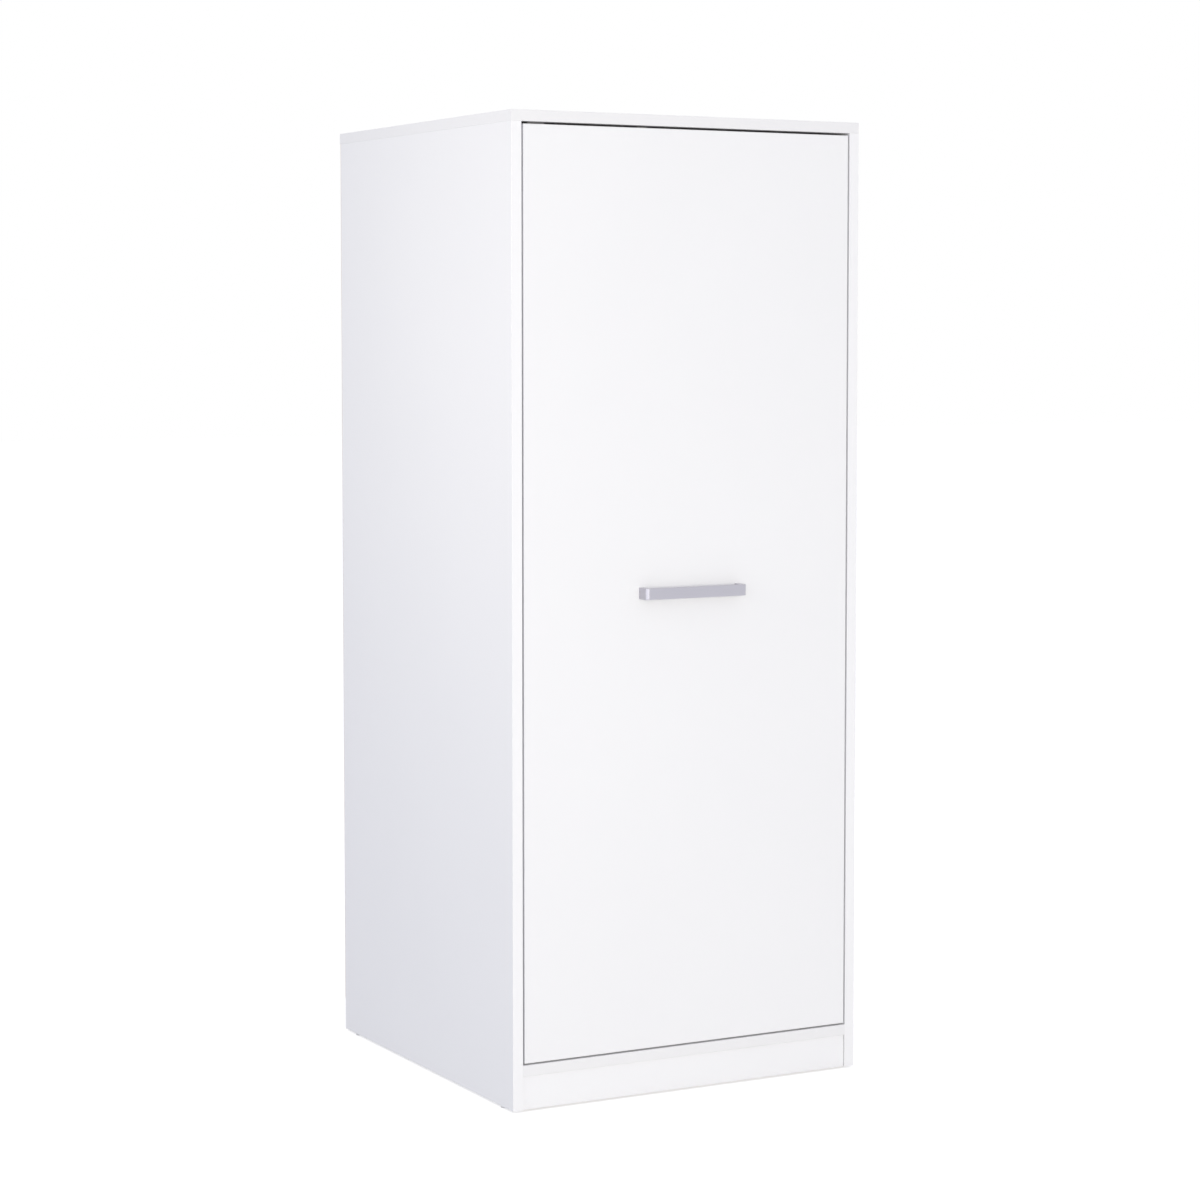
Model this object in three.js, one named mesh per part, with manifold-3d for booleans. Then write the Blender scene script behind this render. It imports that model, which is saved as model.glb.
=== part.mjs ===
import * as THREE from 'three';
import { mergeVertices } from 'three/addons/utils/BufferGeometryUtils.js';
import Module from 'manifold-3d';

// Tall broom cupboard with one inset door, in millimetres.
// X runs to the right, Y to the back and Z up; the origin lies on the floor under the middle.

const wasm = await Module();
wasm.setup();

// Carcass of coated board
const cabinetWidth = 650;
const cabinetDepth = 670;
const cabinetHeight = 1600;
const boardThickness = 18;
const edgeRadius = 0.5;
const edgeSteps = 2;
const edgeLimitShare = 0.25;
const plinthHeight = 58;
const toeRecess = 3;
const rearToeInset = 60;
const backThickness = 3;
const backInset = 1;
const fitGap = 0.3;
const cutOverrun = 1;

// Floor glides under the side panels
const glideHeight = 3;
const glideRadius = 8;
const glideFromEnd = 45;
const glideSteps = 24;

// Inside: one partition, a fixed shelf and loose shelves on pins in the left bay
const shelfBayWidth = 230;
const partitionSetback = 22;
const shelfSetback = 45;
const shelfSideGap = 1;
const fixedShelfShare = 0.5;
const lowerShelfShare = 0.25;
const middleShelfShare = 0.7;
const upperShelfShare = 0.86;
const looseShelfShares = { lower: lowerShelfShare, middle: middleShelfShare, upper: upperShelfShare };
const pinHoleRadius = 2.5;
const pinHoleDepth = 10;
const pinFromShelfEnd = 40;
const pinTongueLength = 9;
const pinTongueWidth = 6;
const pinTongueHeight = 5;
const pinSteps = 12;

// Door, flush with the carcass front
const doorGap = 3;
const doorTopGap = 4;
const stopWidth = 30;
const stopHeight = 12;
const stopDepth = 14;
const stopFromSide = 20;

// Handle: a bow of flat strip, and the screws that hold it
const handleLength = 190;
const handleHeight = 18.4;
const handleProjection = 26;
const handleBar = 5;
const handleLeg = 9;
const handleBend = 8;
const handleInnerBend = 4;
const handleSoftening = 0.6;
const handleBendSteps = 6;
const handleScrewRadius = 2;
const handleScrewGrip = 8;
const handleScrewHead = 4;
const handleScrewHeadHeight = 2.6;

// Concealed hinge: its cup sunk in the door's inner face
const hingeFromDoorEnd = 100;
const cupRadius = 17.5;
const cupFromDoorEdge = 5;
const cupWall = 0.8;
const cupHollow = 12;
const cupSteps = 40;
const flangeRim = 1.5;
const flangeThickness = 1.2;
const earSpacing = 48;
const earShift = 6;
const earRadius = 7;

// Hinge pins, measured from the cup's axis and from the door's inner face
const cupPinShift = 6.4;
const cupPinDepth = 1.6;
const armPinShift = 3.1;
const armPinDepth = 9.3;
const cupPinSeatShare = 0.7;
const hingePinRadius = 1.2;
const hingePinSteps = 16;

// Hinge arm, outer link and mounting plate
const armThickness = 4;
const armEyeRadius = 2.2;
const armNeckHeight = 6;
const armBarHeight = 12;
const armNeckShift = 6.8;
const armNeckStart = 0.5;
const armNeckEnd = 15;
const armBarStart = 32;
const armBarLength = 50;
const linkCheek = 1.5;
const plateScrewLine = 37;
const plateScrewSpacing = 32;
const plateWingThickness = 2.5;
const plateWingLength = 18;
const plateWingHeight = 50;
const plateBodyThickness = 9;
const plateBodyHeight = 11;

// Wood screws of the hinges
const woodScrewRadius = 1.6;
const woodScrewLength = 10;
const woodScrewHead = 3.5;
const woodScrewHeadHeight = 1.2;
const woodScrewSteps = 12;
const screwTaperShare = 0.35;

// Angle bracket under the top panel, for the screw into the wall
const bracketWidth = 40;
const bracketLeg = 25;
const bracketThickness = 2;
const bracketHoleRadius = 3;
const bracketHoleDrop = 14;
const bracketX = 120;

// Planes that the pieces share
const frontY = (handleProjection - cabinetDepth) / 2;
const rearY = frontY + cabinetDepth;
const carcassRearY = rearY - backThickness;
const doorInnerY = frontY + boardThickness;
const outerX = cabinetWidth / 2;
const innerX = outerX - boardThickness;
const bottomTopZ = plinthHeight + boardThickness;
const topUnderZ = cabinetHeight - boardThickness;
const partitionLeftX = -innerX + shelfBayWidth;
const shelfFrontY = doorInnerY + shelfSetback;
const doorBottomZ = bottomTopZ + doorGap;
const doorTopZ = topUnderZ - doorTopGap;
const doorMiddleZ = (doorBottomZ + doorTopZ) / 2;
const doorHalfWidth = innerX - doorGap;
const cupX = doorHalfWidth - cupFromDoorEdge - cupRadius;
const sideFromCup = innerX - cupX;
const hingeHeights = {
  bottom: doorBottomZ + hingeFromDoorEnd,
  middle: doorMiddleZ,
  top: doorTopZ - hingeFromDoorEnd,
};

const cupboard = new THREE.Group();

// Finishes
const whiteBoard = { color: 0xf4f4f7, roughness: 0.45, metalness: 0 };
const whiteBack = { color: 0xf0f0f2, roughness: 0.7, metalness: 0 };
const satinSteel = { color: 0xc4c3cb, roughness: 0.32, metalness: 1 };
const nickel = { color: 0xb9b9bd, roughness: 0.3, metalness: 1 };
const zincScrew = { color: 0xa8a9ad, roughness: 0.4, metalness: 1 };
const clearPlastic = { color: 0xe6e6e8, roughness: 0.5, metalness: 0 };
const greyRubber = { color: 0x8d8d90, roughness: 0.95, metalness: 0 };

// Add one named piece at a place in the cupboard.
function addPiece(name, geometry, finish, place, parent = cupboard) {
  const piece = new THREE.Mesh(geometry, new THREE.MeshStandardMaterial(finish));
  piece.name = name;
  piece.position.set(...place);
  parent.add(piece);
  return piece;
}

// Closed mesh as a solid for cutting and joining.
function toSolid(geometry) {
  const bare = geometry.clone();
  bare.deleteAttribute('normal');
  bare.deleteAttribute('uv');
  const welded = mergeVertices(bare);
  return new wasm.Manifold(new wasm.Mesh({
    numProp: 3,
    vertProperties: new Float32Array(welded.attributes.position.array),
    triVerts: new Uint32Array(welded.index.array),
  }));
}

function toGeometry(solid) {
  const mesh = solid.getMesh();
  const geometry = new THREE.BufferGeometry();
  geometry.setAttribute('position', new THREE.BufferAttribute(mesh.vertProperties, 3));
  geometry.setIndex(new THREE.BufferAttribute(mesh.triVerts, 1));
  geometry.computeVertexNormals();
  return geometry;
}

function join(...geometries) {
  return toGeometry(geometries.map(toSolid).reduce((sum, solid) => sum.add(solid)));
}

function cut(geometry, tools) {
  return toGeometry(tools.map(toSolid).reduce((rest, tool) => rest.subtract(tool), toSolid(geometry)));
}

// Board with softened edges, centred, its thickness along the named axis.
function boardGeometry(thicknessAxis, sizeX, sizeY, sizeZ) {
  const spans = { x: [sizeY, sizeZ, sizeX], y: [sizeX, sizeZ, sizeY], z: [sizeX, sizeY, sizeZ] };
  const [across, along, thickness] = spans[thicknessAxis];
  const softening = Math.min(edgeRadius, edgeLimitShare * thickness);
  const halfAcross = across / 2 - softening;
  const halfAlong = along / 2 - softening;
  const outline = new THREE.Shape([
    new THREE.Vector2(-halfAcross, -halfAlong),
    new THREE.Vector2(halfAcross, -halfAlong),
    new THREE.Vector2(halfAcross, halfAlong),
    new THREE.Vector2(-halfAcross, halfAlong),
  ]);
  const core = thickness - 2 * softening;
  const geometry = new THREE.ExtrudeGeometry(outline, {
    depth: core,
    bevelSize: softening,
    bevelThickness: softening,
    bevelSegments: edgeSteps,
  });
  geometry.translate(0, 0, -core / 2);
  if (thicknessAxis !== 'z') geometry.rotateX(Math.PI / 2);
  if (thicknessAxis === 'x') geometry.rotateZ(Math.PI / 2);
  return geometry;
}

// Board that fills the box between two corners, less any holes given from the board's middle.
function addBoard(name, thicknessAxis, low, high, finish = whiteBoard, holesFrom = () => []) {
  const size = high.map((value, axis) => value - low[axis]);
  const middle = high.map((value, axis) => (value + low[axis]) / 2);
  const board = boardGeometry(thicknessAxis, ...size);
  const holes = holesFrom(middle);
  addPiece(name, holes.length ? cut(board, holes) : board, finish, middle);
}

// Round bar or hole along an axis, from one end to the other, at a place across that axis.
function rodAlong(axis, radius, from, to, place, steps) {
  const rod = new THREE.CylinderGeometry(radius, radius, to - from, steps);
  rod.translate(0, (from + to) / 2, 0);
  if (axis === 'x') rod.rotateZ(-Math.PI / 2);
  if (axis === 'z') rod.rotateX(Math.PI / 2);
  return rod.translate(...place);
}

// Screw with its head's seat at zero, the shank towards -Y and the head towards +Y.
function screwGeometry(shankRadius, shankLength, headRadius, headHeight) {
  const crown = headRadius - screwTaperShare * headHeight;
  return new THREE.LatheGeometry([
    new THREE.Vector2(0, -shankLength),
    new THREE.Vector2(shankRadius, -shankLength),
    new THREE.Vector2(shankRadius, 0),
    new THREE.Vector2(headRadius, 0),
    new THREE.Vector2(crown, headHeight),
    new THREE.Vector2(0, headHeight),
  ], woodScrewSteps);
}

// Places of the shelf pins: one row near the front and one near the back of each loose shelf.
function looseShelfUnderside(share) {
  return bottomTopZ + share * (topUnderZ - bottomTopZ);
}

const pinRows = {
  front: shelfFrontY + pinFromShelfEnd,
  rear: carcassRearY - pinFromShelfEnd,
};
const pinDrop = pinTongueHeight / 2;

// Blind holes for the pins in the face of an upright board; towards is +1 where the face looks to +X.
function pinHoles(middle, towards) {
  const face = towards * boardThickness / 2;
  const ends = [face - towards * pinHoleDepth, face + towards * cutOverrun].sort((a, b) => a - b);
  return Object.values(looseShelfShares).flatMap((share) => Object.values(pinRows).map((y) => rodAlong(
    'x', pinHoleRadius, ...ends,
    [0, y - middle[1], looseShelfUnderside(share) - pinDrop - middle[2]], pinSteps,
  )));
}

// Blind holes for the screws of the mounting plates in the right side panel.
function plateScrewHoles(middle) {
  const face = -boardThickness / 2;
  return Object.values(hingeHeights).flatMap((z) => [-1, 1].map((side) => rodAlong(
    'x', woodScrewRadius + fitGap, face - cutOverrun, face + woodScrewLength,
    [0, doorInnerY + plateScrewLine - middle[1], z + side * plateScrewSpacing / 2 - middle[2]],
    woodScrewSteps,
  )));
}

function addCarcass() {
  addBoard('side_panel_left', 'x', [-outerX, frontY, glideHeight], [-innerX, carcassRearY, topUnderZ],
    whiteBoard, (middle) => pinHoles(middle, 1));
  addBoard('side_panel_right', 'x', [innerX, frontY, glideHeight], [outerX, carcassRearY, topUnderZ],
    whiteBoard, plateScrewHoles);
  addBoard('top_panel', 'z', [-outerX, frontY, topUnderZ], [outerX, rearY, cabinetHeight]);
  addBoard('bottom_panel', 'z', [-innerX, frontY, plinthHeight], [innerX, carcassRearY, bottomTopZ]);
  addBoard('back_panel', 'y', [backInset - outerX, carcassRearY, plinthHeight],
    [outerX - backInset, rearY, topUnderZ], whiteBack, (middle) => [rodAlong(
      'y', bracketHoleRadius, -backThickness / 2 - cutOverrun, backThickness / 2 + cutOverrun,
      [bracketX, 0, topUnderZ - bracketHoleDrop - middle[2]], woodScrewSteps,
    )]);
  const toeY = frontY + toeRecess;
  addBoard('toe_board_front', 'y', [-innerX, toeY, glideHeight],
    [innerX, toeY + boardThickness, plinthHeight]);
  const rearToeY = carcassRearY - rearToeInset;
  addBoard('toe_board_rear', 'y', [-innerX, rearToeY - boardThickness, glideHeight],
    [innerX, rearToeY, plinthHeight]);
}

function addGlides() {
  const underSide = outerX - boardThickness / 2;
  for (const [sideName, x] of [['left', -underSide], ['right', underSide]]) {
    for (const [endName, y] of [['front', frontY + glideFromEnd], ['rear', carcassRearY - glideFromEnd]]) {
      const glide = rodAlong('z', glideRadius, 0, glideHeight, [0, 0, 0], glideSteps);
      addPiece(`floor_glide_${endName}_${sideName}`, glide, clearPlastic, [x, y, 0]);
    }
  }
}

// Pin with its tongue's top at zero height, reaching out from the board's face towards +X.
function shelfPinGeometry() {
  const peg = rodAlong('x', pinHoleRadius - fitGap, fitGap - pinHoleDepth, cutOverrun,
    [0, 0, -pinDrop], pinSteps);
  const tongue = new THREE.BoxGeometry(pinTongueLength, pinTongueWidth, pinTongueHeight);
  tongue.translate(pinTongueLength / 2, 0, -pinDrop);
  return join(peg, tongue);
}

function addShelves() {
  const fixedZ = looseShelfUnderside(fixedShelfShare);
  addBoard('fixed_shelf', 'z', [-innerX, shelfFrontY, fixedZ],
    [partitionLeftX, carcassRearY, fixedZ + boardThickness]);
  const pin = shelfPinGeometry();
  const mirroredPin = pin.clone().rotateZ(Math.PI);
  for (const [name, share] of Object.entries(looseShelfShares)) {
    const underside = looseShelfUnderside(share);
    addBoard(`loose_shelf_${name}`, 'z', [shelfSideGap - innerX, shelfFrontY, underside],
      [partitionLeftX - shelfSideGap, carcassRearY - shelfSideGap, underside + boardThickness]);
    for (const [row, y] of Object.entries(pinRows)) {
      addPiece(`shelf_pin_${name}_${row}_left`, pin, nickel, [-innerX, y, underside]);
      addPiece(`shelf_pin_${name}_${row}_right`, mirroredPin, nickel, [partitionLeftX, y, underside]);
    }
  }
}

function addInside() {
  addBoard('partition', 'x', [partitionLeftX, doorInnerY + partitionSetback, bottomTopZ],
    [partitionLeftX + boardThickness, carcassRearY, topUnderZ], whiteBoard,
    (middle) => pinHoles(middle, -1));
  addShelves();
  const stopLow = stopFromSide - innerX;
  const stopY = doorInnerY + fitGap;
  addBoard('door_stop_upper', 'y', [stopLow, stopY, topUnderZ - stopHeight],
    [stopLow + stopWidth, stopY + stopDepth, topUnderZ], greyRubber);
  addBoard('door_stop_lower', 'y', [stopLow, stopY, bottomTopZ],
    [stopLow + stopWidth, stopY + stopDepth, bottomTopZ + stopHeight], greyRubber);
}

// Angle bracket in the corner under the top panel, with a hole for the wall screw.
function addWallBracket() {
  const profile = new THREE.Shape([
    new THREE.Vector2(0, 0),
    new THREE.Vector2(-bracketLeg, 0),
    new THREE.Vector2(-bracketLeg, -bracketThickness),
    new THREE.Vector2(-bracketThickness, -bracketThickness),
    new THREE.Vector2(-bracketThickness, -bracketLeg),
    new THREE.Vector2(0, -bracketLeg),
  ]);
  const angle = new THREE.ExtrudeGeometry(profile, { depth: bracketWidth, bevelEnabled: false });
  angle.translate(0, 0, -bracketWidth / 2);
  angle.rotateX(Math.PI / 2);
  angle.rotateZ(Math.PI / 2);
  const hole = rodAlong('y', bracketHoleRadius, -bracketThickness - cutOverrun, cutOverrun,
    [0, 0, -bracketHoleDrop], woodScrewSteps);
  addPiece('wall_bracket', cut(angle, [hole]), zincScrew, [bracketX, carcassRearY, topUnderZ]);
}

// Screw holes through the door lie in the middle of the handle's legs.
const handleScrewX = (handleLength - handleLeg) / 2;

function doorHoles(middle) {
  const innerFace = doorInnerY - middle[1];
  const boreDepth = cupHollow + cupWall + fitGap;
  const holes = [-1, 1].map((side) => rodAlong(
    'y', handleScrewRadius + fitGap, innerFace - boardThickness - cutOverrun, innerFace + cutOverrun,
    [side * handleScrewX, 0, 0], woodScrewSteps,
  ));
  for (const z of Object.values(hingeHeights)) {
    const height = z - middle[2];
    holes.push(rodAlong('y', cupRadius + fitGap, innerFace - boreDepth, innerFace + cutOverrun,
      [cupX, 0, height], cupSteps));
    for (const side of [-1, 1]) {
      holes.push(rodAlong('y', woodScrewRadius + fitGap, innerFace - woodScrewLength,
        innerFace + cutOverrun, [cupX - earShift, 0, height + side * earSpacing / 2], woodScrewSteps));
    }
  }
  return holes;
}

// Bow in plan: two legs and a bar with round bends, open towards the door.
function handleOutline() {
  const half = handleLength / 2;
  const innerHalf = half - handleLeg;
  const reach = handleProjection;
  const innerReach = handleProjection - handleBar;
  const outline = new THREE.Shape();
  outline.moveTo(-half, 0);
  outline.absarc(handleBend - half, handleBend - reach, handleBend, Math.PI, 1.5 * Math.PI, false);
  outline.absarc(half - handleBend, handleBend - reach, handleBend, 1.5 * Math.PI, 2 * Math.PI, false);
  outline.lineTo(half, 0);
  outline.lineTo(innerHalf, 0);
  outline.absarc(innerHalf - handleInnerBend, handleInnerBend - innerReach, handleInnerBend,
    2 * Math.PI, 1.5 * Math.PI, true);
  outline.absarc(handleInnerBend - innerHalf, handleInnerBend - innerReach, handleInnerBend,
    1.5 * Math.PI, Math.PI, true);
  outline.lineTo(-innerHalf, 0);
  return outline;
}

function addDoor() {
  addBoard('door', 'y', [-doorHalfWidth, frontY, doorBottomZ], [doorHalfWidth, doorInnerY, doorTopZ],
    whiteBoard, doorHoles);
  const core = handleHeight - 2 * handleSoftening;
  const bow = new THREE.ExtrudeGeometry(handleOutline(), {
    depth: core,
    bevelSize: handleSoftening,
    bevelOffset: -handleSoftening,
    bevelThickness: handleSoftening,
    bevelSegments: edgeSteps,
    curveSegments: handleBendSteps,
  });
  bow.translate(0, 0, -core / 2);
  const threads = [-1, 1].map((side) => rodAlong(
    'y', handleScrewRadius + fitGap, -handleScrewGrip - cutOverrun, cutOverrun,
    [side * handleScrewX, 0, 0], woodScrewSteps,
  ));
  addPiece('handle', cut(bow, threads), satinSteel, [0, frontY, doorMiddleZ]);
  const screw = screwGeometry(handleScrewRadius, boardThickness + handleScrewGrip,
    handleScrewHead, handleScrewHeadHeight);
  addPiece('handle_screw_left', screw, zincScrew, [-handleScrewX, doorInnerY, doorMiddleZ]);
  addPiece('handle_screw_right', screw, zincScrew, [handleScrewX, doorInnerY, doorMiddleZ]);
}

// Each hinge is drawn from its cup's axis on the door's inner face.
const armPin = new THREE.Vector2(armPinShift, -armPinDepth);
const cupPin = new THREE.Vector2(-cupPinShift, -cupPinDepth);
const armBarX = sideFromCup - plateBodyThickness - armThickness / 2;

// Plate with two round ends from one point to another, extruded from low to high along Z.
function roundEndedPlate(from, to, radius, low, high) {
  const along = to.clone().sub(from);
  const outline = new THREE.Shape();
  outline.absarc(0, 0, radius, 0.5 * Math.PI, 1.5 * Math.PI, false);
  outline.absarc(along.length(), 0, radius, -0.5 * Math.PI, 0.5 * Math.PI, false);
  const plate = new THREE.ExtrudeGeometry(outline, {
    depth: high - low,
    bevelEnabled: false,
    curveSegments: hingePinSteps,
  });
  return plate.rotateZ(along.angle()).translate(from.x, from.y, low);
}

// Cup with its flange, the two ears of the flange and the two stub pins that carry the link.
function cupGeometry() {
  const hollowRadius = cupRadius - cupWall;
  const rim = cupRadius + flangeRim;
  const bowl = new THREE.LatheGeometry([
    new THREE.Vector2(0, -cupHollow - cupWall),
    new THREE.Vector2(cupRadius, -cupHollow - cupWall),
    new THREE.Vector2(cupRadius, 0),
    new THREE.Vector2(rim, 0),
    new THREE.Vector2(rim, flangeThickness),
    new THREE.Vector2(hollowRadius, flangeThickness),
    new THREE.Vector2(hollowRadius, -cupHollow),
    new THREE.Vector2(0, -cupHollow),
  ], cupSteps);
  const earEnd = new THREE.Vector2(-earShift, earSpacing / 2);
  const ears = roundEndedPlate(new THREE.Vector2(-earShift, -earSpacing / 2), earEnd, earRadius,
    0, flangeThickness).rotateX(-Math.PI / 2);
  const throughFlange = [-cutOverrun, flangeThickness + cutOverrun];
  const openings = [rodAlong('y', hollowRadius, ...throughFlange, [0, 0, 0], cupSteps)];
  for (const side of [-1, 1]) {
    openings.push(rodAlong('y', woodScrewRadius + fitGap, ...throughFlange,
      [-earShift, 0, side * earSpacing / 2], woodScrewSteps));
  }
  const seatRadius = cupRadius - cupPinSeatShare * cupWall;
  const reach = Math.sqrt(seatRadius ** 2 - cupPinShift ** 2);
  const stubStart = armNeckHeight / 2 + fitGap;
  const stubs = [[-reach, -stubStart], [stubStart, reach]].map(([from, to]) => rodAlong(
    'z', hingePinRadius, from, to, [cupPin.x, cupPin.y, 0], hingePinSteps,
  ));
  return join(bowl, cut(ears, openings), ...stubs);
}

// Outer link: a cheek on each side of the arm's neck, joined by the pin through the arm's eye.
function linkGeometry() {
  const cheekStart = armNeckHeight / 2 + fitGap;
  const cheekEnd = cheekStart + linkCheek;
  const cheeks = [[-cheekEnd, -cheekStart], [cheekStart, cheekEnd]].map(([low, high]) => {
    const cheek = roundEndedPlate(armPin, cupPin, armEyeRadius, low, high);
    return cut(cheek, [rodAlong('z', hingePinRadius + fitGap, low - cutOverrun, high + cutOverrun,
      [cupPin.x, cupPin.y, 0], hingePinSteps)]);
  });
  const pin = rodAlong('z', hingePinRadius, -cheekEnd, cheekEnd, [armPin.x, armPin.y, 0], hingePinSteps);
  return join(...cheeks, pin);
}

// Bent strip of even thickness along points in plan, with mitred corners.
function bentStrip(points, thickness, height) {
  const offsets = points.map((point, index) => {
    const before = points[Math.max(index - 1, 0)];
    const after = points[Math.min(index + 1, points.length - 1)];
    const incoming = (index > 0 ? point.clone().sub(before) : after.clone().sub(point)).normalize();
    const outgoing = (index < points.length - 1 ? after.clone().sub(point) : incoming.clone()).normalize();
    const mitre = incoming.clone().add(outgoing).normalize();
    const widening = thickness / 2 / mitre.dot(incoming);
    return new THREE.Vector2(-mitre.y, mitre.x).multiplyScalar(widening);
  });
  const leftSide = points.map((point, index) => point.clone().add(offsets[index]));
  const rightSide = points.map((point, index) => point.clone().sub(offsets[index])).reverse();
  const strip = new THREE.ExtrudeGeometry(new THREE.Shape([...leftSide, ...rightSide]), {
    depth: height,
    bevelEnabled: false,
  });
  return strip.translate(0, 0, -height / 2);
}

// Arm: a narrow neck that dips into the cup, cranked back to a bar on the mounting plate.
function armGeometry() {
  const barStart = new THREE.Vector2(armBarX, armBarStart);
  const barEnd = new THREE.Vector2(armBarX, armBarStart + armBarLength);
  const neck = bentStrip([
    armPin,
    new THREE.Vector2(-armNeckShift, armNeckStart),
    new THREE.Vector2(-armNeckShift, armNeckEnd),
    barStart,
    barEnd,
  ], armThickness, armNeckHeight);
  const halfNeck = armNeckHeight / 2;
  const eye = rodAlong('z', armEyeRadius, -halfNeck, halfNeck, [armPin.x, armPin.y, 0], hingePinSteps);
  const bore = rodAlong('z', hingePinRadius + fitGap, -halfNeck - cutOverrun, halfNeck + cutOverrun,
    [armPin.x, armPin.y, 0], hingePinSteps);
  const bar = bentStrip([barStart, barEnd], armThickness, armBarHeight);
  return cut(join(neck, eye, bar), [bore]);
}

// Mounting plate: two wings screwed to the side panel and a raised body under the arm's bar.
function plateGeometry() {
  const wings = new THREE.BoxGeometry(plateWingThickness, plateWingLength, plateWingHeight);
  wings.translate(sideFromCup - plateWingThickness / 2, plateScrewLine, 0);
  const body = new THREE.BoxGeometry(plateBodyThickness, armBarLength, plateBodyHeight);
  body.translate(sideFromCup - plateBodyThickness / 2, armBarStart + armBarLength / 2, 0);
  const holes = [-1, 1].map((side) => rodAlong(
    'x', woodScrewRadius + fitGap, sideFromCup - plateWingThickness - cutOverrun,
    sideFromCup + cutOverrun, [0, plateScrewLine, side * plateScrewSpacing / 2], woodScrewSteps,
  ));
  return cut(join(wings, body), holes);
}

function addHinges() {
  const cup = cupGeometry();
  const link = linkGeometry();
  const arm = armGeometry();
  const plate = plateGeometry();
  const screw = screwGeometry(woodScrewRadius, woodScrewLength, woodScrewHead, woodScrewHeadHeight);
  for (const [name, z] of Object.entries(hingeHeights)) {
    const hinge = new THREE.Group();
    hinge.position.set(cupX, doorInnerY, z);
    cupboard.add(hinge);
    addPiece(`hinge_cup_${name}`, cup, nickel, [0, 0, 0], hinge);
    addPiece(`hinge_link_${name}`, link, zincScrew, [0, 0, 0], hinge);
    addPiece(`hinge_arm_${name}`, arm, nickel, [0, 0, 0], hinge);
    addPiece(`mounting_plate_${name}`, plate, nickel, [0, 0, 0], hinge);
    for (const [end, side] of [['low', -1], ['high', 1]]) {
      addPiece(`cup_screw_${name}_${end}`, screw, zincScrew,
        [-earShift, flangeThickness, side * earSpacing / 2], hinge);
      const plateScrew = addPiece(`plate_screw_${name}_${end}`, screw, zincScrew,
        [sideFromCup - plateWingThickness, plateScrewLine, side * plateScrewSpacing / 2], hinge);
      plateScrew.rotation.z = Math.PI / 2;
    }
  }
}

addCarcass();
addGlides();
addInside();
addWallBracket();
addDoor();
addHinges();

export default cupboard;
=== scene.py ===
import math
from functools import reduce

import bpy
import numpy as np
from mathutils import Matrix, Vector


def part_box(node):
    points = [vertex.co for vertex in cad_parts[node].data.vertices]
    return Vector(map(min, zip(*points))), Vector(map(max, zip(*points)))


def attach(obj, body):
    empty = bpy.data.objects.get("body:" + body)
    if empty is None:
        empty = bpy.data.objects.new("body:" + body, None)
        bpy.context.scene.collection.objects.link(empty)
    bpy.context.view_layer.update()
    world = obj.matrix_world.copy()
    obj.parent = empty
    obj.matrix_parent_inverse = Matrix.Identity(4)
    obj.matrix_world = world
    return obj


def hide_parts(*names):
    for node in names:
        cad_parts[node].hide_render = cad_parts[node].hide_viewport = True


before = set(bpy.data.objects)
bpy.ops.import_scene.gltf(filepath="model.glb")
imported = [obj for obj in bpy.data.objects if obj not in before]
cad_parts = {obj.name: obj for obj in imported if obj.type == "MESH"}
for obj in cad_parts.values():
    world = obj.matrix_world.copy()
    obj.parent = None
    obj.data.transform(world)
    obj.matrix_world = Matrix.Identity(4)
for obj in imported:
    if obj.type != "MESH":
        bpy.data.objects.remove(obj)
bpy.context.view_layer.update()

# Camera: a long lens at chest height, to the left of the cupboard's front and turned
# towards it, looking slightly down. A small shift brings the upright edges nearer to
# parallel, as the photograph has them.
camera_data = bpy.data.cameras.new("camera")
camera_data.lens = 90.305
camera_data.sensor_width = 36
camera_data.shift_y = -0.05
camera = bpy.data.objects.new("camera", camera_data)
camera.location = (-2.46857, -4.56718, 1.2442)
camera.rotation_euler = (math.radians(86.1287), 0, math.radians(-28.4677))
bpy.context.scene.collection.objects.link(camera)
bpy.context.scene.camera = camera

# Carcass boards: chipboard coated with white melamine foil, 18 mm thick, with a thin
# plastic band glued on each edge that shows. Rear edges and the toe boards' lower edges
# stay raw and show the chips. At the toe boards' ends a near-black line is painted shadow
# of their joints with the side panels.
X, Y, Z = 0, 1, 2
FOIL = (0.905, 0.906, 0.915)
FOIL_SHADE = (0.885, 0.886, 0.897)
FOIL_ROUGH = 0.4
SMEAR_ROUGH = 0.1
PEBBLE_DEPTH = 0.00003
BAND = 0.0008
BAND_WHITE = (0.915, 0.915, 0.925)
# Painted shade: the bands of top and bottom panel get a darker white than the other bands.
SHADED_CROSS_BAND = (0.862, 0.86, 0.868)
BAND_GLOSS = 0.09
BAND_FLATNESS = 0.6
JOINT_HALF = 0.00012
JOINT_GREY = (0.62, 0.61, 0.60)
JOINT_SHARE = 0.35
JOINT_SINK = 2
RAW_EDGE = 0.0002
CHIP_PALE = (0.62, 0.46, 0.29)
CHIP_DARK = (0.36, 0.23, 0.12)
CHIP_ROUGH = 0.85
CHIP_RISE = 4
# Painted shadow: a near-black line at each end of a toe board, for the shade in its joint with
# the side panel.
END_SHADOW_WIDTH = 0.0006
END_SHADOW_DARK = (0.10, 0.095, 0.09)


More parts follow.
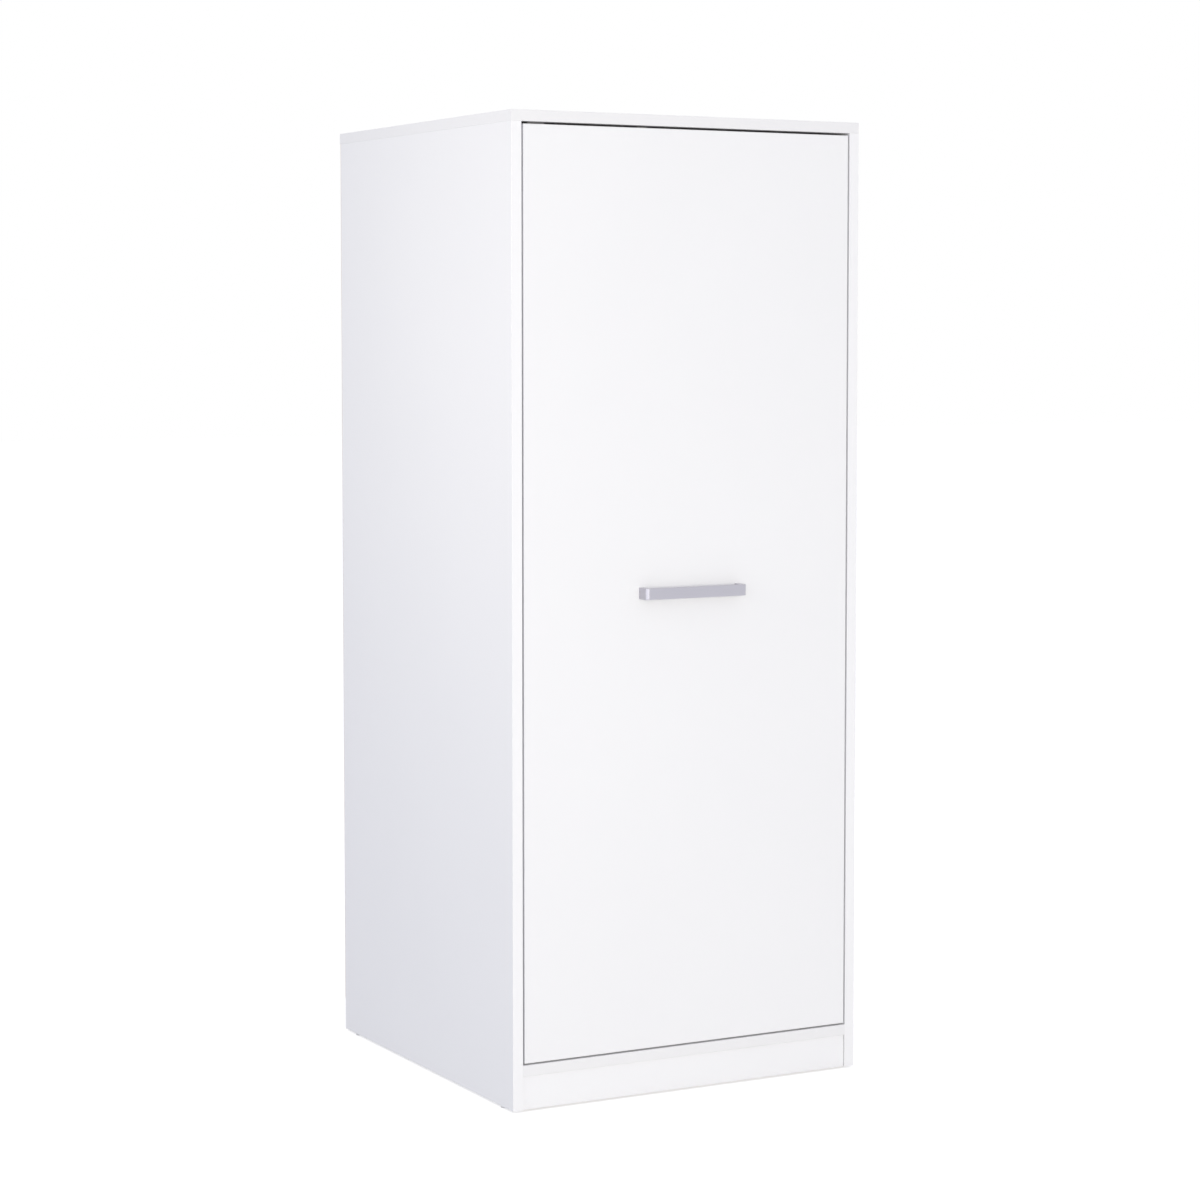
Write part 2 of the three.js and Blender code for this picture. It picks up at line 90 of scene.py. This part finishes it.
class Wire:
    """A socket in a node tree: arithmetic on it adds Math nodes."""

    def __init__(self, tree, socket):
        self.tree = tree
        self.socket = socket

    def math(self, operation, *values):
        node = self.tree.nodes.new("ShaderNodeMath")
        node.operation = operation
        for place, value in zip(node.inputs, values):
            if isinstance(value, Wire):
                self.tree.links.new(value.socket, place)
            else:
                place.default_value = value
        return Wire(self.tree, node.outputs[0])

    def __add__(self, other):
        return self.math("ADD", self, other)

    def __radd__(self, other):
        return self.math("ADD", other, self)

    def __sub__(self, other):
        return self.math("SUBTRACT", self, other)

    def __rsub__(self, other):
        return self.math("SUBTRACT", other, self)

    def __mul__(self, other):
        return self.math("MULTIPLY", self, other)

    def __rmul__(self, other):
        return self.math("MULTIPLY", other, self)

    def __lt__(self, other):
        return self.math("LESS_THAN", self, other)

    def __gt__(self, other):
        return self.math("GREATER_THAN", self, other)

    def __abs__(self):
        return self.math("ABSOLUTE", self)

    def least(self, other):
        return self.math("MINIMUM", self, other)

    def most(self, other):
        return self.math("MAXIMUM", self, other)

    def past_whole(self, pitch):
        return self.math("FLOORED_MODULO", self, pitch)


class Nodes:
    """The node tree of a material or of the world."""

    def __init__(self, owner):
        owner.use_nodes = True
        self.tree = owner.node_tree

    def node(self, kind, settings=None, inputs=None, output=0):
        """Any node but Math: its type, its settings, and the values or links of its sockets."""
        made = self.tree.nodes.new(kind)
        for key, value in (settings or {}).items():
            setattr(made, key, value)
        for key, value in (inputs or {}).items():
            if isinstance(value, Wire):
                self.tree.links.new(value.socket, made.inputs[key])
            else:
                made.inputs[key].default_value = value
        return Wire(self.tree, made.outputs[output]) if made.outputs else None


class Finish(Nodes):
    """A material around one Principled shader; constants are set on the shader itself."""

    def __init__(self, name, **constants):
        self.material = bpy.data.materials.new(name)
        super().__init__(self.material)
        self.shader = self.tree.nodes["Principled BSDF"]
        for key, value in constants.items():
            self.shader.inputs[key].default_value = value
        self.place = self.node("ShaderNodeTexCoord", output="Object")

    def axes(self):
        """The three Object coordinates as separate numbers."""
        return [self.node("ShaderNodeSeparateXYZ", inputs={0: self.place}, output=axis)
                for axis in "XYZ"]

    def noise(self, cells, detail, stretch=(1, 1, 1), place=None):
        """Noise of so many cells a metre, times the stretch on each axis."""
        spot = self.node(
            "ShaderNodeMapping", inputs={"Vector": place or self.place, "Scale": stretch}
        )
        return self.node(
            "ShaderNodeTexNoise", inputs={"Vector": spot, "Scale": cells, "Detail": detail}
        )

    def mix(self, share, first, second):
        """Colour that goes from the first to the second as the share goes from 0 to 1."""
        colors = [value if isinstance(value, Wire) else (*value, 1) for value in (first, second)]
        return self.node(
            "ShaderNodeMix",
            {"data_type": "RGBA"},
            {0: share, 6: colors[0], 7: colors[1]},
            output=2,
        )

    def wear(self, color, roughness, height, depth, metallic=None):
        """Link what changes over the surface; height is bumped by depth in metres."""
        normal = self.node(
            "ShaderNodeBump", inputs={"Height": height, "Distance": depth}, output="Normal"
        )
        links = {"Base Color": color, "Roughness": roughness, "Normal": normal}
        if metallic:
            links["Metallic"] = metallic
        for key, value in links.items():
            self.tree.links.new(value.socket, self.shader.inputs[key])
        return self.material


def board_finish(name, banded, raw=(), shadowed_ends=(), band_white=BAND_WHITE):
    """White foil with a band at each banded plane and bare chips at each raw one.

    A plane is an axis and a place on it. The distance to the nearest banded plane makes
    the band below BAND and its joint line at BAND. Chips show within RAW_EDGE of a raw
    plane, and painted shadow, a near-black line, within END_SHADOW_WIDTH of each end in
    shadowed_ends.
    Heights count in PEBBLE_DEPTH.
    """
    finish = Finish(name, IOR=1.48)
    axes = finish.axes()
    cloud = finish.noise(cells=3.5, detail=3)
    pebble = finish.noise(cells=1300, detail=1)
    smear = finish.noise(cells=9, detail=4, stretch=(1, 1, 0.35))
    distance = reduce(Wire.least, [abs(axes[axis] - plane) for axis, plane in banded])
    band = distance < BAND
    joint = abs(distance - BAND) < JOINT_HALF
    color = finish.mix(cloud, FOIL_SHADE, FOIL)
    color = finish.mix(band, color, band_white)
    color = finish.mix(joint * JOINT_SHARE, color, JOINT_GREY)
    roughness = FOIL_ROUGH + SMEAR_ROUGH * smear - BAND_GLOSS * band
    height = pebble * (1 - BAND_FLATNESS * band) - JOINT_SINK * joint
    for axis, plane in raw:
        bare = abs(axes[axis] - plane) < RAW_EDGE
        flakes = finish.noise(cells=420, detail=3, stretch=(1, 1, 0.4))
        chips = finish.mix(flakes, CHIP_DARK, CHIP_PALE)
        color = finish.mix(bare, color, chips)
        roughness = roughness.most(bare * CHIP_ROUGH)
        height = height + CHIP_RISE * bare * flakes
    # Painted shadow: a near-black line at each of these ends.
    for axis, plane in shadowed_ends:
        color = finish.mix(abs(axes[axis] - plane) < END_SHADOW_WIDTH, color, END_SHADOW_DARK)
    return finish.wear(color, roughness, height, PEBBLE_DEPTH)


def dress(node, material):
    """Give a CAD node its material."""
    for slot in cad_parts[node].material_slots:
        slot.material = material


# The bottom panel's band takes the darker SHADED_CROSS_BAND, a painted shade.
for board in ("side_panel_left", "side_panel_right", "bottom_panel"):
    low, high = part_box(board)
    dress(board, board_finish(
        board + "_foil",
        banded=[(Y, low.y)],
        raw=[(Y, high.y)],
        band_white=SHADED_CROSS_BAND if board == "bottom_panel" else BAND_WHITE,
    ))
# Toe boards: painted shadow, a near-black line, at both ends.
for board in ("toe_board_front", "toe_board_rear"):
    low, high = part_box(board)
    dress(board, board_finish(
        board + "_foil",
        banded=[(Y, low.y)],
        raw=[(Z, low.z)],
        shadowed_ends=[(X, low.x), (X, high.x)],
    ))
# The top panel's bands take the darker SHADED_CROSS_BAND, a painted shade.
top_low, top_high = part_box("top_panel")
dress("top_panel", board_finish(
    "top_panel_foil",
    banded=[(X, top_low.x), (X, top_high.x), (Y, top_low.y), (Y, top_high.y)],
    band_white=SHADED_CROSS_BAND,
))

# Boards inside, coated like the carcass: the partition stands between bottom and top
# panel, the fixed shelf is held between it and the left side, and three loose shelves
# lie on pins. Their front edges are banded and their rear edges raw.
for board in ("partition", "fixed_shelf", "loose_shelf_lower", "loose_shelf_middle",
              "loose_shelf_upper"):
    low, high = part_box(board)
    dress(board, board_finish(board + "_foil", banded=[(Y, low.y)], raw=[(Y, high.y)]))

# Back panel: 3 mm hardboard, white lacquer inside and plain brown fibre outside, held by
# small round nails in the rear edges of the side panels and of the bottom panel.
LACQUER = (0.875, 0.875, 0.885)
LACQUER_DEPTH = 0.0004
FIBRE_PALE = (0.42, 0.27, 0.145)
FIBRE_DARK = (0.30, 0.18, 0.09)
FIBRE_SHARE = 0.7
BLOTCH_SHARE = 0.3
FIBRE_ROUGH = 0.62
FIBRE_ROUGH_SPREAD = 0.2
FIBRE_DEPTH = 0.00004
NAIL_RADIUS = 0.0016
NAIL_PITCH = 0.148
NAIL_FROM_EDGE = 0.009
SIDE_NAILS_SHIFT = 0.03
BOTTOM_NAILS_SHIFT = 0.05
NAIL_GREY = (0.42, 0.42, 0.43)
NAIL_ROUGH = 0.35
NAIL_RISE = 3
back_low, back_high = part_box("back_panel")
back = Finish("back_hardboard")
back_x, back_y, back_z = back.axes()


def nail_row(across, along):
    """Round heads, one in the middle of each pitch along a row: across^2 + along^2 < radius^2."""
    along = abs(along.past_whole(NAIL_PITCH) - NAIL_PITCH / 2)
    return (across * across + along * along) < NAIL_RADIUS ** 2


outside = back_y > (back_low.y + LACQUER_DEPTH)
side_nails = nail_row(
    abs(back_x) - (back_high.x - NAIL_FROM_EDGE), back_z - back_low.z - SIDE_NAILS_SHIFT
)
bottom_nails = nail_row(
    back_z - (back_low.z + NAIL_FROM_EDGE), back_x - back_low.x - BOTTOM_NAILS_SHIFT
)
nail = side_nails.most(bottom_nails) * outside
fibres = back.noise(cells=700, detail=5)
blotches = back.noise(cells=14, detail=3)
fibre_color = back.mix(
    fibres * FIBRE_SHARE + blotches * BLOTCH_SHARE, FIBRE_DARK, FIBRE_PALE
)
fibre_rough = FIBRE_ROUGH + FIBRE_ROUGH_SPREAD * fibres
dress("back_panel", back.wear(
    color=back.mix(nail, back.mix(outside, LACQUER, fibre_color), NAIL_GREY),
    roughness=fibre_rough * (1 - nail) + NAIL_ROUGH * nail,
    height=fibres * outside + NAIL_RISE * nail,
    depth=FIBRE_DEPTH,
    metallic=nail,
))

# Door: one coated board like the carcass, banded on all four edges. It hangs inset on
# three cup hinges at its right, flush with the carcass front, with a thin gap all round.
door_low, door_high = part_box("door")
dress("door", board_finish(
    "door_foil",
    banded=[(X, door_low.x), (X, door_high.x), (Z, door_low.z), (Z, door_high.z)],
))

# Handle: a bow of flat aluminium strip, drawn, bent and brushed along its length, then
# anodised. Its legs stand on the door and take a screw each from inside.
HANDLE_BEND = 0.008
HANDLE_INNER_BEND = 0.004
HANDLE_LEG = 0.009
HANDLE_BAR = 0.005
HANDLE_EDGE = 0.0007
HANDLE_BRACE = 0.0003
HANDLE_EDGE_STEPS = 5
HANDLE_COUNTS = (6, 20, 24)
CREASE = math.radians(40)
METAL_PALE = (0.545, 0.535, 0.585)
METAL_DARK = (0.49, 0.48, 0.535)
METAL_ROUGH = 0.26
GRAIN_ROUGH_SPREAD = 0.09
GRAIN_CELLS = (25, 5200, 1)
FINE_GRAIN_CELLS = (60, 14000, 1)
GRAIN_SHARE = 0.6
SWEEP_SHARE = 0.4
FINE_GRAIN_RISE = 0.5
GRAIN_DEPTH = 0.000012
handle_low, handle_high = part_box("handle")


def bow_path(half, reach, bend, door_y, counts):
    """Plan of a bow: straight leg, round bend, straight bar, bend, leg.

    Legs run along Y at x = +-half, the bar along X at y = door_y - reach, and each bend
    is a quarter circle of the given radius: centre + radius * (cos a, sin a). The counts
    are the points on a leg, on a bend and on half the bar.
    """
    leg, turn, bar = counts
    leg_y = np.linspace(door_y, door_y - reach + bend, leg, endpoint=False)
    left_leg = np.stack([np.full(leg, -half), leg_y], 1)
    angle = np.linspace(math.pi, 1.5 * math.pi, turn, endpoint=False)
    left_bend = np.stack([
        bend - half + bend * np.cos(angle), door_y - reach + bend + bend * np.sin(angle)
    ], 1)
    bar_x = np.linspace(bend - half, 0, bar)
    left_bar = np.stack([bar_x, np.full(bar, door_y - reach)], 1)
    left = np.concatenate([left_leg, left_bend, left_bar])
    right = left[-2::-1] * (-1, 1)
    return np.concatenate([left, right])


def corner_profile(radius, half_height, steps, brace):
    """Closed outline of a bar with soft corners, as a share across and a place along height.

    Each corner is a quarter circle with one more point a brace further on each flat.
    Returns shares, offsets and heights: the place across is share * width + offset.
    """
    angle = np.linspace(0, math.pi / 2, steps)
    shift = radius * (1 - np.sin(angle))
    rise = half_height - radius * (1 - np.cos(angle))
    shift = np.concatenate([[radius + brace], shift, [0]])
    rise = np.concatenate([[half_height], rise, [half_height - radius - brace]])
    outer_top = np.stack([np.zeros(steps + 2), shift[::-1], rise[::-1]], 1)
    inner_top = np.stack([np.ones(steps + 2), -shift, rise], 1)
    top = np.concatenate([outer_top, inner_top])
    bottom = top[::-1] * (1, 1, -1)
    return np.concatenate([top, bottom])


def outward(points):
    """The grid with its rings reversed where its closed volume comes out negative."""
    near, far = points[:-1], points[1:]
    near_next, far_next = np.roll(near, -1, 1), np.roll(far, -1, 1)
    volume = (near * np.cross(near_next, far_next)).sum()
    volume += (near * np.cross(far_next, far)).sum()
    for ring, side in ((points[0], -1), (points[-1], 1)):
        fan = np.cross(ring, np.roll(ring, -1, 0)).sum(0)
        volume += side * (ring.mean(0) * fan).sum()
    return points if volume > 0 else points[:, ::-1]


def skin(name, points):
    """Closed mesh over rings of points with a flat cap at both ends.

    Its UV map holds arc lengths in metres: U along the rings' centres, V round each ring.
    Edges sharper than CREASE stay hard.
    """
    points = outward(points)
    rings, steps = points.shape[:2]
    ring, step = np.meshgrid(np.arange(rings - 1), np.arange(steps), indexing="ij")
    after = (step + 1) % steps
    quads = np.stack([
        ring * steps + step, ring * steps + after,
        (ring + 1) * steps + after, (ring + 1) * steps + step,
    ], -1).reshape(-1, 4)
    caps = [np.arange(steps)[::-1].tolist(), (np.arange(steps) + (rings - 1) * steps).tolist()]
    mesh = bpy.data.meshes.new(name)
    mesh.from_pydata(points.reshape(-1, 3), [], quads.tolist() + caps)
    centres = points.mean(1)
    along = np.concatenate([[0], np.cumsum(np.linalg.norm(np.diff(centres, axis=0), axis=1))])
    closed = np.concatenate([points, points[:, :1]], 1)
    round_way = np.cumsum(np.linalg.norm(np.diff(closed, axis=1), axis=2), axis=1)
    round_way = np.concatenate([np.zeros((rings, 1)), round_way], 1)
    uv_ring = np.stack([ring, ring, ring + 1, ring + 1], -1).reshape(-1)
    uv_step = np.stack([step, step + 1, step + 1, step], -1).reshape(-1)
    uv = np.zeros((len(mesh.loops), 2), np.float32)
    uv[:len(uv_ring), 0] = along[uv_ring]
    uv[:len(uv_ring), 1] = round_way[uv_ring, uv_step]
    mesh.uv_layers.new(name="along").data.foreach_set("uv", uv.reshape(-1))
    mesh.polygons.foreach_set("use_smooth", np.ones(len(mesh.polygons), bool))
    mesh.set_sharp_from_angle(angle=CREASE)
    piece = bpy.data.objects.new(name, mesh)
    bpy.context.scene.collection.objects.link(piece)
    return piece


def make_handle():
    """Section carried along the bow: outer path + (share * width + offset) * way across."""
    half = handle_high.x
    reach = handle_high.y - handle_low.y
    door_y = handle_high.y
    outer = bow_path(half, reach, HANDLE_BEND, door_y, HANDLE_COUNTS)
    inner = bow_path(
        half - HANDLE_LEG, reach - HANDLE_BAR, HANDLE_INNER_BEND, door_y, HANDLE_COUNTS
    )
    across = inner - outer
    width = np.linalg.norm(across, axis=1, keepdims=True)
    direction = across / width
    share, offset, height = corner_profile(
        HANDLE_EDGE, (handle_high.z - handle_low.z) / 2, HANDLE_EDGE_STEPS, HANDLE_BRACE
    ).T
    reach_in = share[None, :] * width + offset[None, :]
    plan = outer[:, None, :] + direction[:, None, :] * reach_in[:, :, None]
    middle = (handle_high.z + handle_low.z) / 2
    level = np.broadcast_to(middle + height, plan.shape[:2])
    return skin("handle_bow", np.concatenate([plan, level[:, :, None]], 2))


handle = make_handle()
brushed = Finish("handle_aluminium", Metallic=1.0, IOR=1.4)
strip = brushed.node("ShaderNodeUVMap", {"uv_map": "along"})
grain = brushed.noise(cells=1, detail=3, stretch=GRAIN_CELLS, place=strip)
fine_grain = brushed.noise(cells=1, detail=2, stretch=FINE_GRAIN_CELLS, place=strip)
sweep = brushed.noise(cells=18, detail=2)
handle.data.materials.append(brushed.wear(
    color=brushed.mix(GRAIN_SHARE * grain + SWEEP_SHARE * sweep, METAL_DARK, METAL_PALE),
    roughness=METAL_ROUGH + GRAIN_ROUGH_SPREAD * grain,
    height=grain + FINE_GRAIN_RISE * fine_grain,
    depth=GRAIN_DEPTH,
))
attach(handle, "door")
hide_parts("handle")

# Hinge cups, arms and mounting plates, and the shelf pins: pressed steel, nickel plated,
# half bright, a little cloudy from the bath. Cups are sunk in the door, arms sit on the
# plates, plates are screwed to the right side, and pins stand in bored holes.
NICKEL_PALE = (0.66, 0.655, 0.65)
NICKEL_DARK = (0.55, 0.545, 0.54)
PLATING_DEPTH = 0.00001


def mottled(finish, pattern, dark, pale, roughness, spread, height, depth):
    """Material whose colour and roughness follow one pattern: roughness + spread * pattern."""
    return finish.wear(
        finish.mix(pattern, dark, pale), roughness + spread * pattern, height, depth
    )


def dress_all(starts, material):
    """Give a material to every CAD node whose name has one of the starts."""
    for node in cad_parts:
        if node.startswith(starts):
            dress(node, material)


nickel = Finish("nickel_plating", Metallic=1.0)
nickel_plating = mottled(
    nickel, nickel.noise(cells=60, detail=3), NICKEL_DARK, NICKEL_PALE,
    roughness=0.22, spread=0.14,
    height=nickel.noise(cells=900, detail=2, stretch=(0.15, 1, 1)), depth=PLATING_DEPTH,
)
dress_all(("hinge_cup", "hinge_arm", "mounting_plate", "shelf_pin"), nickel_plating)

# Hinge links and wall bracket: stamped steel, zinc plated, duller than the nickel, with
# fine spangles. The links turn on pins in arm and cup, and the bent bracket sits in the
# corner of top and back for a screw into the wall.
ZINC_PALE = (0.58, 0.585, 0.6)
ZINC_DARK = (0.42, 0.425, 0.44)
SPANGLE_CELLS = 700
zinc = Finish("zinc_plating", Metallic=1.0)
zinc_plating = mottled(
    zinc, zinc.noise(cells=240, detail=3), ZINC_DARK, ZINC_PALE,
    roughness=0.3, spread=0.16,
    height=zinc.node(
        "ShaderNodeTexVoronoi", inputs={"Vector": zinc.place, "Scale": SPANGLE_CELLS}
    ),
    depth=PLATING_DEPTH,
)
dress_all(("hinge_link", "wall_bracket"), zinc_plating)

# Screws: turned steel with a rolled thread and a cross pressed into the head, zinc plated.
# Six hold the cups to the door, six the plates to the side, two the handle to the door.
SCREW_STEPS = 32
HEAD_SHARES = (0.05, 0.12, 0.2, 0.28, 0.36, 0.44, 0.52, 0.6, 0.7, 0.8, 0.9)
CROWN_SHARE = 0.35
CROSS_HALF = 0.00055
CROSS_WALL = 0.0002
CROSS_REACH = 0.6
CROSS_RUN_OUT = 1.15
CROSS_DEEPEST = 0.85
RIM_EASE = 0.97
RIM_TOP = 0.04
RIM_UPPER = 0.6
RIM_LOWER = 0.1
THREAD_DEPTH = 0.28
THREAD_START = 0.02
THREAD_RINGS = 7
GROOVE_SLOPE = 3.2
POINT_TAPER = 1.6
POINT_TIP = 0.04
WOOD_SCREW = dict(
    shank=0.0016, length=0.010, head=0.0035, height=0.0012, pitch=0.0012, pointed=True
)
HANDLE_SCREW = dict(
    shank=0.002, length=0.026, head=0.004, height=0.0026, pitch=0.0008, pointed=False
)
SCREW_KINDS = {
    "cup_screw": ((Y, 1), WOOD_SCREW, "door"),
    "plate_screw": ((X, -1), WOOD_SCREW, "carcass"),
    "handle_screw": ((Y, 1), HANDLE_SCREW, "door"),
}
screw_turn = np.linspace(0, 2 * math.pi, SCREW_STEPS, endpoint=False)


def turned(radius, level):
    """Rings about the third axis: (radius * cos a, radius * sin a, level) at each angle a."""
    across = radius * np.cos(screw_turn)
    return np.stack([
        across, radius * np.sin(screw_turn), np.broadcast_to(level, across.shape)
    ], 2)


def screw_rings(shank, length, head, height, pitch, pointed):
    """Rings of a screw in its own frame, head up along the third axis, seat at zero.

    Head: z = height - crown * (r / head)^2, less a cross-shaped pit that runs out beyond
    CROSS_REACH of the head. Shank: radius = core + (shank - core) * (1 - groove), where
    groove is a clipped triangle wave of the turn plus the depth over the pitch. A pointed
    shank narrows over its last POINT_TAPER radii.
    """
    radius = head * np.array(HEAD_SHARES)[:, None]
    arm = np.minimum(abs(radius * np.cos(screw_turn)), abs(radius * np.sin(screw_turn)))
    pit = np.clip((CROSS_HALF - arm) / CROSS_WALL + 0.5, 0, 1)
    pit = pit * np.clip(CROSS_RUN_OUT - radius / (CROSS_REACH * head), 0, CROSS_DEEPEST)
    crown = CROWN_SHARE * height
    top = turned(radius, height - crown * (radius / head) ** 2 - height * pit)
    rim = height - crown
    side_radius = np.array([RIM_EASE * head, head, head, RIM_EASE * head, shank])
    side_level = np.array([rim + RIM_TOP * crown, RIM_UPPER * rim, RIM_LOWER * rim, 0, 0])
    side = turned(side_radius[:, None], side_level[:, None])
    core = shank * (1 - THREAD_DEPTH)
    depth = np.linspace(THREAD_START * length, length, int(THREAD_RINGS * length / pitch))
    depth = depth[:, None]
    wave = (screw_turn / (2 * math.pi) + depth / pitch) % 1
    groove = np.clip(GROOVE_SLOPE / 2 - GROOVE_SLOPE * abs(wave - 0.5), 0, 1)
    groove = groove * np.clip((length - depth) / pitch, 0, 1) * np.clip(depth / pitch, 0, 1)
    thread = core + (shank - core) * (1 - groove)
    if pointed:
        thread = thread * np.clip((length - depth) / (POINT_TAPER * shank), POINT_TIP, 1)
    return np.concatenate([top, side, turned(thread, -depth)])


def put_screw(name, seat, head_way, shape, body, node=None):
    """Stand a screw on its seat with its head towards an axis and a sign."""
    axis, sign = head_way
    others = [other for other in (X, Y, Z) if other != axis]
    rings = screw_rings(**shape)
    placed = np.empty_like(rings)
    placed[..., [*others, axis]] = rings * (1, 1, sign)
    screw = skin(name, placed + np.array(seat))
    screw.data.materials.append(zinc_plating)
    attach(screw, body)
    if node:
        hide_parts(node)


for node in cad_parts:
    for kind, (head_way, shape, body) in SCREW_KINDS.items():
        if node.startswith(kind):
            axis, sign = head_way
            low, high = (np.array(corner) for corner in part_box(node))
            seat = (low + high) / 2
            head_end = high if sign > 0 else low
            seat[axis] = head_end[axis] - sign * shape["height"]
            put_screw(node + "_threaded", seat, head_way, shape, body, node)

# Adjusting screws of each hinge: one sets the door sideways and one sets its depth. They
# sit in the arm's bar, one behind the other, with a cross in the head.
ARM_BAR_THICKNESS = 0.004
SIDE_ADJUSTER_FROM_END = 0.041
DEPTH_ADJUSTER_FROM_END = 0.017
SIDE_ADJUSTER = dict(
    shank=0.0015, length=0.003, head=0.0026, height=0.0008, pitch=0.0008, pointed=False
)
DEPTH_ADJUSTER = dict(
    shank=0.0018, length=0.003, head=0.0034, height=0.0009, pitch=0.0008, pointed=False
)
ADJUSTERS = {
    "side_adjuster": (SIDE_ADJUSTER_FROM_END, SIDE_ADJUSTER),
    "depth_adjuster": (DEPTH_ADJUSTER_FROM_END, DEPTH_ADJUSTER),
}
for place in ("bottom", "middle", "top"):
    low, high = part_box("hinge_arm_" + place)
    for name, (from_end, shape) in ADJUSTERS.items():
        seat = (high.x - ARM_BAR_THICKNESS, high.y - from_end, (low.z + high.z) / 2)
        put_screw(f"{name}_{place}", seat, (X, -1), shape, "carcass")

# Floor glides: thin discs of pale moulded plastic, glued under the side panels, one near
# each end. The whole cupboard stands on them.
GLIDE_DARK = (0.70, 0.70, 0.70)
GLIDE_PALE = (0.80, 0.80, 0.80)
plastic = Finish("glide_plastic", IOR=1.5)
mould = plastic.noise(cells=500, detail=3)
glide_plastic = mottled(
    plastic, mould, GLIDE_DARK, GLIDE_PALE, roughness=0.42, spread=0.12,
    height=mould, depth=0.00002,
)
dress_all("floor_glide", glide_plastic)

# Door stops: two blocks of grey rubber that end the door's swing without a knock. One is
# glued under the top panel and one on the bottom panel, behind the door's free edge.
RUBBER_DARK = (0.22, 0.22, 0.23)
RUBBER_PALE = (0.30, 0.30, 0.31)
rubber = Finish("stop_rubber")
bloom = rubber.noise(cells=350, detail=4)
stop_rubber = mottled(
    rubber, bloom, RUBBER_DARK, RUBBER_PALE, roughness=0.7, spread=0.15,
    height=bloom, depth=0.00006,
)
dress_all("door_stop", stop_rubber)

# Floor and surround: a pale floor that goes on to the horizon under a white sky. Seen by
# the camera and in metal both are white, and the floor keeps the cupboard's shadow. To
# everything else they are dimmer, so that they light the boards at a plain level.
FLOOR_HALF = 30.0
FLOOR_LIT = (0.62, 0.62, 0.63, 1)
FLOOR_SEEN = (0.52, 0.52, 0.52, 1)
FLOOR_LIFT = 0.68
SKY = (0.87, 0.892, 1.0, 1)
SKY_STRENGTH = 0.745
SKY_SEEN = (1, 1, 1, 1)
floor_mesh = bpy.data.meshes.new("floor")
floor_mesh.from_pydata(
    np.array([(-1, -1, 0), (1, -1, 0), (1, 1, 0), (-1, 1, 0)]) * FLOOR_HALF, [], [(0, 1, 2, 3)]
)
floor = bpy.data.objects.new("floor", floor_mesh)
bpy.context.scene.collection.objects.link(floor)


class StudioNodes(Nodes):
    """An emptied tree that shows one shader to the camera and in metal, another to light."""

    def __init__(self, owner):
        super().__init__(owner)
        self.tree.nodes.clear()

    def show(self, output_kind, lit, seen):
        """Mix by the kind of ray: camera, glossy and transmission rays get the seen shader."""
        rays = [self.node("ShaderNodeLightPath", output=ray)
                for ray in ("Is Camera Ray", "Is Glossy Ray", "Is Transmission Ray")]
        direct = reduce(Wire.most, rays)
        choice = self.node("ShaderNodeMixShader", inputs={0: direct, 1: lit, 2: seen})
        self.node(output_kind, inputs={"Surface": choice})


floor_finish = bpy.data.materials.new("floor_white")
floor_nodes = StudioNodes(floor_finish)
floor_nodes.show(
    "ShaderNodeOutputMaterial",
    floor_nodes.node("ShaderNodeBsdfDiffuse", inputs={"Color": FLOOR_LIT}),
    floor_nodes.node("ShaderNodeAddShader", inputs={
        0: floor_nodes.node("ShaderNodeBsdfDiffuse", inputs={"Color": FLOOR_SEEN}),
        1: floor_nodes.node("ShaderNodeEmission", inputs={"Strength": FLOOR_LIFT}),
    }),
)
floor_mesh.materials.append(floor_finish)
world = bpy.data.worlds.new("surround")
bpy.context.scene.world = world
sky_nodes = StudioNodes(world)
sky_nodes.show(
    "ShaderNodeOutputWorld",
    sky_nodes.node("ShaderNodeBackground", inputs={"Color": SKY, "Strength": SKY_STRENGTH}),
    sky_nodes.node("ShaderNodeBackground", inputs={"Color": SKY_SEEN}),
)

# Lamps: soft boxes round the cupboard, in metres and watts. One in front lights the door,
# two wide ones at the left even out door and side, a weak one lifts the side's upper front,
# and one behind on the right lights the right side and the back.


def softbox(name, place, target, size, power, color):
    """Square lamp at a place, facing its target."""
    lamp = bpy.data.lights.new(name, "AREA")
    lamp.shape = "SQUARE"
    lamp.size = size
    lamp.energy = power
    lamp.color = color
    holder = bpy.data.objects.new(name, lamp)
    holder.location = place
    way = np.array(target, float) - np.array(place, float)
    holder.rotation_euler = (
        math.acos(-way[Z] / np.linalg.norm(way)), 0, math.atan2(way[X], -way[Y]) + math.pi
    )
    bpy.context.scene.collection.objects.link(holder)
    return holder


front_lamp = softbox(
    "front_lamp", place=(-0.7, -5.2, 1.1), target=(0, -0.3, 0.75),
    size=1.1, power=80, color=(1.0, 0.95, 0.8),
)
# Mirrored in the flat handle, it would turn the bar white when seen from straight ahead.
front_lamp.visible_glossy = False
softbox(
    "back_lamp", place=(2.9, 1.9, 1.5), target=(0.1, 0.1, 0.8),
    size=2.0, power=26, color=(1.0, 0.96, 0.87),
)
softbox(
    "corner_lamp", place=(-2.3, -3.9, 1.0), target=(-0.1, -0.3, 0.8),
    size=2.2, power=15, color=(1.0, 0.98, 0.94),
)
softbox(
    "wide_lamp", place=(-3.2, -1.6, 1.0), target=(-0.1, -0.3, 0.8),
    size=2.4, power=11, color=(0.9, 0.93, 1.0),
)
softbox(
    "side_lamp", place=(-1.62, -0.36, 1.48), target=(-0.325, -0.3, 1.25),
    size=0.8, power=5.7, color=(1.0, 0.94, 0.8),
)

bpy.context.scene.view_settings.view_transform = "Standard"
